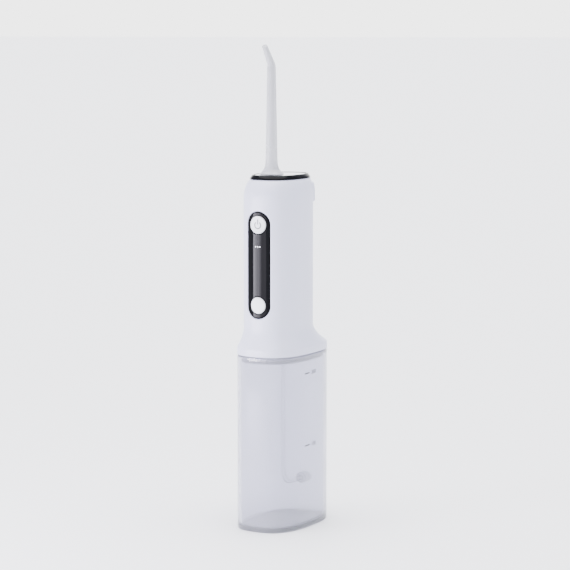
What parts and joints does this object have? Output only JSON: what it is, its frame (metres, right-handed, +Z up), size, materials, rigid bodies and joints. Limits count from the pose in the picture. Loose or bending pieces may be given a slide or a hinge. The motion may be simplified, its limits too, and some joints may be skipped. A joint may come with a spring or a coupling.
{
  "type": "water flosser",
  "caption": "Cordless water flosser: upright handle with a bent nozzle, buttons and a pump inside, standing on a clip-on frosted water tank.",
  "frame": {"origin": "centre of the tank's underside, which the flosser stands on", "axes": "+Z up through the nozzle, -Y the front with the buttons, +X to the right seen from the front"},
  "size_m": [0.042, 0.0664, 0.2903],
  "materials": {
    "tank_frosted": "frosted clear moulding",
    "shell_white": "satin white moulding",
    "gloss_black": "high gloss",
    "cap_white": "satin white moulding",
    "button_white": "satin white moulding",
    "nozzle_clear": "pale translucent moulding",
    "light_pipe": "clear light pipe",
    "inner_plastic": "moulded, matt",
    "pale_acetal": "natural acetal",
    "clear_hose": "clear moulded tube",
    "dark_rubber": "matt rubber",
    "white_rubber": "soft matt rubber",
    "steel": "turned or stamped",
    "brass": "turned",
    "board_green": "solder mask",
    "cell_wrap": "shrink-wrapped cell",
    "switch_black": "moulded, matt",
    "lead_red": "insulated lead",
    "lead_black": "insulated lead"
  },
  "bodies": {
    "tank": {"tank": "tank_frosted"},
    "handle": {"handle_shell": "shell_white", "trim_ring": "gloss_black", "top_cap": "cap_white", "control_panel": "gloss_black", "indicator_left": "light_pipe", "indicator_middle": "light_pipe", "indicator_right": "light_pipe", "nozzle_socket": "inner_plastic", "release_spring_left": "steel", "release_spring_right": "steel", "motor_can": "steel", "motor_end_cap": "switch_black", "gear_axle": "steel", "pump_cylinder": "inner_plastic", "inlet_valve": "dark_rubber", "outlet_valve": "dark_rubber", "delivery_tube": "clear_hose", "suction_tube": "clear_hose", "suction_filter": "inner_plastic", "base_plate": "shell_white", "base_gasket": "white_rubber", "base_screw_1": "steel", "base_screw_2": "steel", "base_screw_3": "steel", "base_screw_4": "steel", "chassis": "inner_plastic", "motor_screw_left": "steel", "motor_screw_right": "steel", "circuit_board": "board_green", "power_switch": "switch_black", "mode_switch": "switch_black", "battery_cell": "cell_wrap", "charging_socket": "steel", "motor_lead_red": "lead_red", "motor_lead_black": "lead_black", "battery_lead_red": "lead_red", "battery_lead_black": "lead_black"},
    "collet": {"nozzle_collet": "pale_acetal"},
    "nozzle": {"nozzle": "nozzle_clear", "nozzle_seal": "dark_rubber"},
    "power_button": {"power_button": "button_white"},
    "mode_button": {"mode_button": "button_white"},
    "release": {"release_button": "shell_white", "latch_plate": "pale_acetal"},
    "crank": {"crank_gear": "pale_acetal"},
    "pinion": {"pinion": "brass", "motor_shaft": "steel"},
    "piston": {"piston": "inner_plastic", "piston_seal": "dark_rubber", "wrist_pin": "steel"},
    "connecting_rod": {"connecting_rod": "pale_acetal"},
    "port_cover": {"port_cover": "white_rubber"}
  },
  "joints": [
    {"name": "handle_lift", "type": "slide", "parent": "tank", "child": "handle", "axis": [0, 0, 1], "range_m": [0, 0.1]},
    {"name": "nozzle_turn", "type": "hinge", "parent": "handle", "child": "collet", "pos_m": [0, -0.01295, 0.2066], "axis": [0, 0, 1], "continuous": true},
    {"name": "nozzle_pull", "type": "slide", "parent": "collet", "child": "nozzle", "axis": [0, 0, 1], "range_m": [0, 0.03]},
    {"name": "power_press", "type": "slide", "parent": "handle", "child": "power_button", "axis": [0, 1, 0], "range_m": [0, 0.0005], "stiffness_N_per_m": 4000, "springref_m": -0.0001},
    {"name": "mode_press", "type": "slide", "parent": "handle", "child": "mode_button", "axis": [0, 1, 0], "range_m": [0, 0.0005], "stiffness_N_per_m": 4000, "springref_m": -0.0001},
    {"name": "release_press", "type": "slide", "parent": "handle", "child": "release", "axis": [0, -1, 0], "range_m": [0, 0.0008], "stiffness_N_per_m": 3000, "springref_m": -0.0002, "deforming": ["release_spring_left", "release_spring_right"]},
    {"name": "crank_turn", "type": "hinge", "parent": "handle", "child": "crank", "pos_m": [0, 0.0014, 0.1245], "axis": [0, 0, 1], "continuous": true},
    {"name": "pinion_spin", "type": "hinge", "parent": "handle", "child": "pinion", "pos_m": [0, -0.0106, 0.1245], "axis": [0, 0, 1], "continuous": true},
    {"name": "piston_stroke", "type": "slide", "parent": "handle", "child": "piston", "axis": [0, 1, 0], "range_m": [0, 0.007]},
    {"name": "rod_swing", "type": "hinge", "parent": "piston", "child": "connecting_rod", "pos_m": [0, -0.0161, 0.117], "axis": [0, 0, 1], "range_deg": [-14.5, 14.5]},
    {"name": "port_cover_open", "type": "hinge", "parent": "handle", "child": "port_cover", "pos_m": [0, 0.01975, 0.1225], "axis": [-1, 0, 0], "range_deg": [0, 110]}
  ],
  "couplings": [
    {"joint": "pinion_spin", "follows": "crank_turn", "ratio": -3}
  ]
}
